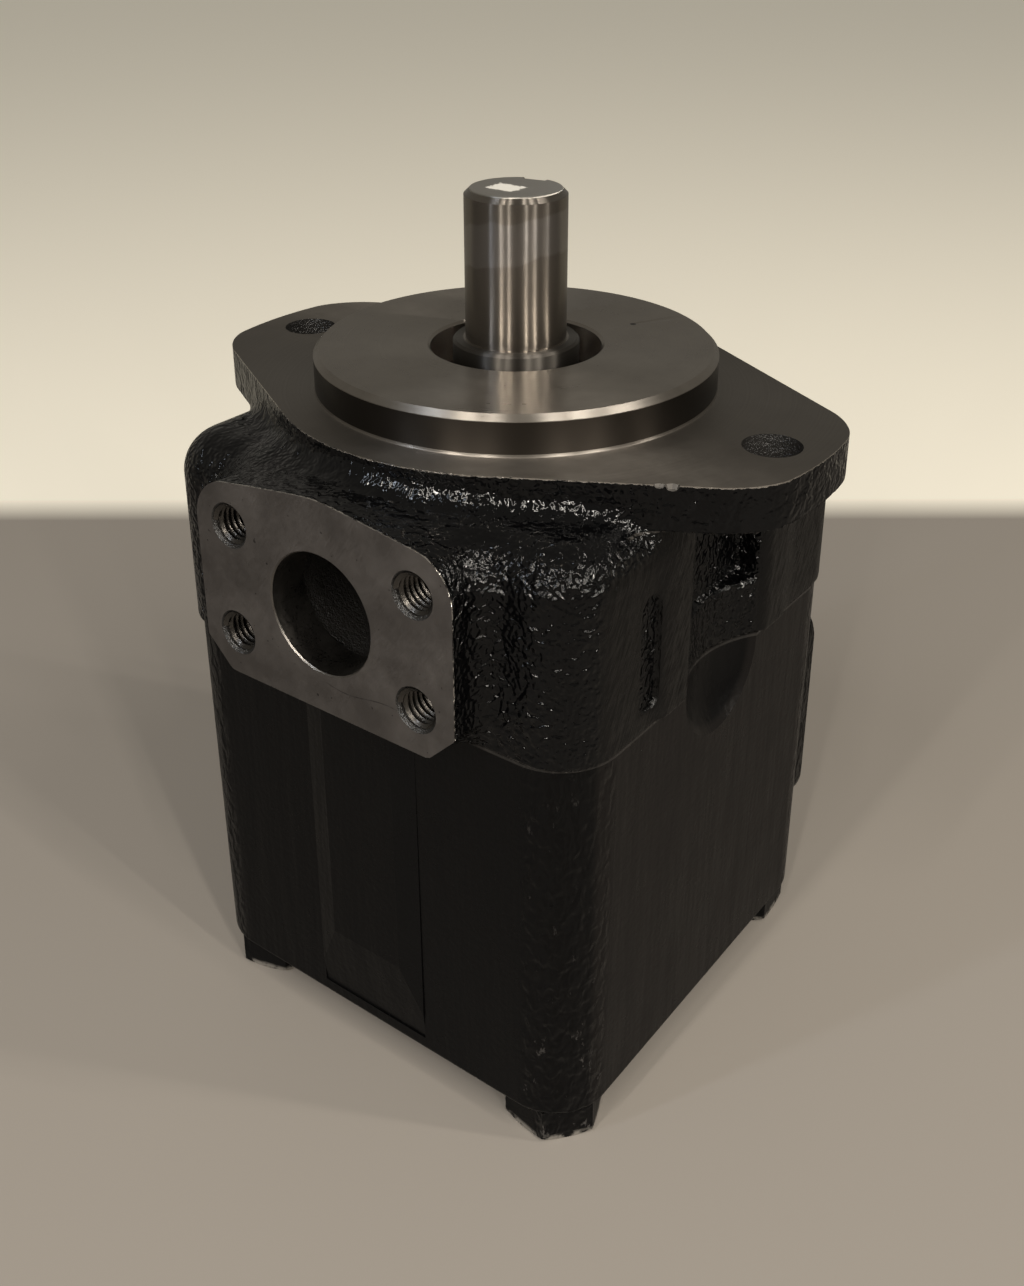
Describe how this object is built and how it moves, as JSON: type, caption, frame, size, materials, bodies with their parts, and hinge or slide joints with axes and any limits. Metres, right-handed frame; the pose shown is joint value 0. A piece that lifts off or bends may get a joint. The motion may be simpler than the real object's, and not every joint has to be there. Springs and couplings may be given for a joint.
{
  "type": "hydraulic vane pump",
  "caption": "Balanced vane pump: two-bolt spigot flange, keyed shaft, cast front and rear housing, flanged pressure and suction ports, cartridge with cam ring, rotor and sliding vanes.",
  "frame": {"origin": "centre of the mounting flange's face, on the shaft's axis", "axes": "+Z out along the shaft, +X along the line of the two mounting holes, -Y out of the pressure port"},
  "size_m": [0.2138, 0.188, 0.2792],
  "materials": {
    "casting_paint": "glossy black paint over a sand casting, machined faces bare",
    "bolt_paint": "black paint over a steel hexagon head",
    "shaft_steel": "ground and turned steel",
    "hard_steel": "ground, hardened steel",
    "bearing_steel": "polished bearing steel",
    "spring_steel": "blued spring steel",
    "plate_iron": "lapped faces, turned rim",
    "bush_bronze": "sintered bronze",
    "seal_rubber": "oil-wet nitrile rubber"
  },
  "bodies": {
    "casing": {"front_cap": "casting_paint", "rear_housing": "casting_paint", "housing_bolt_1": "bolt_paint", "housing_bolt_2": "bolt_paint", "housing_bolt_3": "bolt_paint", "housing_bolt_4": "bolt_paint", "seal_case": "spring_steel", "seal_lip": "seal_rubber", "seal_spring": "spring_steel", "bearing_outer_ring": "bearing_steel", "bearing_circlip": "spring_steel", "front_plate": "plate_iron", "rear_plate": "plate_iron", "cam_ring": "hard_steel", "rear_bush": "bush_bronze", "dowel_pin_1": "hard_steel", "dowel_pin_2": "hard_steel", "cartridge_screw_1": "spring_steel", "cartridge_screw_2": "spring_steel", "plate_hub_ring": "seal_rubber", "plate_rim_ring": "seal_rubber", "cap_ring": "seal_rubber"},
    "rotating_group": {"shaft": "shaft_steel", "bearing_inner_ring": "bearing_steel", "shaft_circlip": "spring_steel", "rotor": "hard_steel"},
    "ball_cage": {"bearing_balls": "bearing_steel", "bearing_cage": "spring_steel"},
    "vane_01_body": {"vane_01": "hard_steel"},
    "vane_02_body": {"vane_02": "hard_steel"},
    "vane_03_body": {"vane_03": "hard_steel"},
    "vane_04_body": {"vane_04": "hard_steel"},
    "vane_05_body": {"vane_05": "hard_steel"},
    "vane_06_body": {"vane_06": "hard_steel"},
    "vane_07_body": {"vane_07": "hard_steel"},
    "vane_08_body": {"vane_08": "hard_steel"},
    "vane_09_body": {"vane_09": "hard_steel"},
    "vane_10_body": {"vane_10": "hard_steel"}
  },
  "joints": [
    {"name": "shaft_spin", "type": "hinge", "parent": "casing", "child": "rotating_group", "pos_m": [0, 0, 0], "axis": [0, 0, 1], "continuous": true},
    {"name": "cage_spin", "type": "hinge", "parent": "casing", "child": "ball_cage", "pos_m": [0, 0, 0], "axis": [0, 0, 1], "continuous": true},
    {"name": "vane_01_slide", "type": "slide", "parent": "rotating_group", "child": "vane_01_body", "axis": [1, 0, 0], "range_m": [0, 0.0019]},
    {"name": "vane_02_slide", "type": "slide", "parent": "rotating_group", "child": "vane_02_body", "axis": [0.809, 0.5878, 0], "range_m": [0, 0.0019]},
    {"name": "vane_03_slide", "type": "slide", "parent": "rotating_group", "child": "vane_03_body", "axis": [0.309, 0.9511, 0], "range_m": [0, 0.0019]},
    {"name": "vane_04_slide", "type": "slide", "parent": "rotating_group", "child": "vane_04_body", "axis": [-0.309, 0.9511, 0], "range_m": [0, 0.0019]},
    {"name": "vane_05_slide", "type": "slide", "parent": "rotating_group", "child": "vane_05_body", "axis": [-0.809, 0.5878, 0], "range_m": [0, 0.0019]},
    {"name": "vane_06_slide", "type": "slide", "parent": "rotating_group", "child": "vane_06_body", "axis": [-1, 0, 0], "range_m": [0, 0.0019]},
    {"name": "vane_07_slide", "type": "slide", "parent": "rotating_group", "child": "vane_07_body", "axis": [-0.809, -0.5878, 0], "range_m": [0, 0.0019]},
    {"name": "vane_08_slide", "type": "slide", "parent": "rotating_group", "child": "vane_08_body", "axis": [-0.309, -0.9511, 0], "range_m": [0, 0.0019]},
    {"name": "vane_09_slide", "type": "slide", "parent": "rotating_group", "child": "vane_09_body", "axis": [0.309, -0.9511, 0], "range_m": [0, 0.0019]},
    {"name": "vane_10_slide", "type": "slide", "parent": "rotating_group", "child": "vane_10_body", "axis": [0.809, -0.5878, 0], "range_m": [0, 0.0019]}
  ],
  "couplings": [
    {"joint": "cage_spin", "follows": "shaft_spin", "ratio": 0.40083},
    {"joint": "vane_06_slide", "follows": "vane_01_slide", "ratio": 1},
    {"joint": "vane_07_slide", "follows": "vane_02_slide", "ratio": 1},
    {"joint": "vane_08_slide", "follows": "vane_03_slide", "ratio": 1},
    {"joint": "vane_09_slide", "follows": "vane_04_slide", "ratio": 1},
    {"joint": "vane_10_slide", "follows": "vane_05_slide", "ratio": 1}
  ]
}
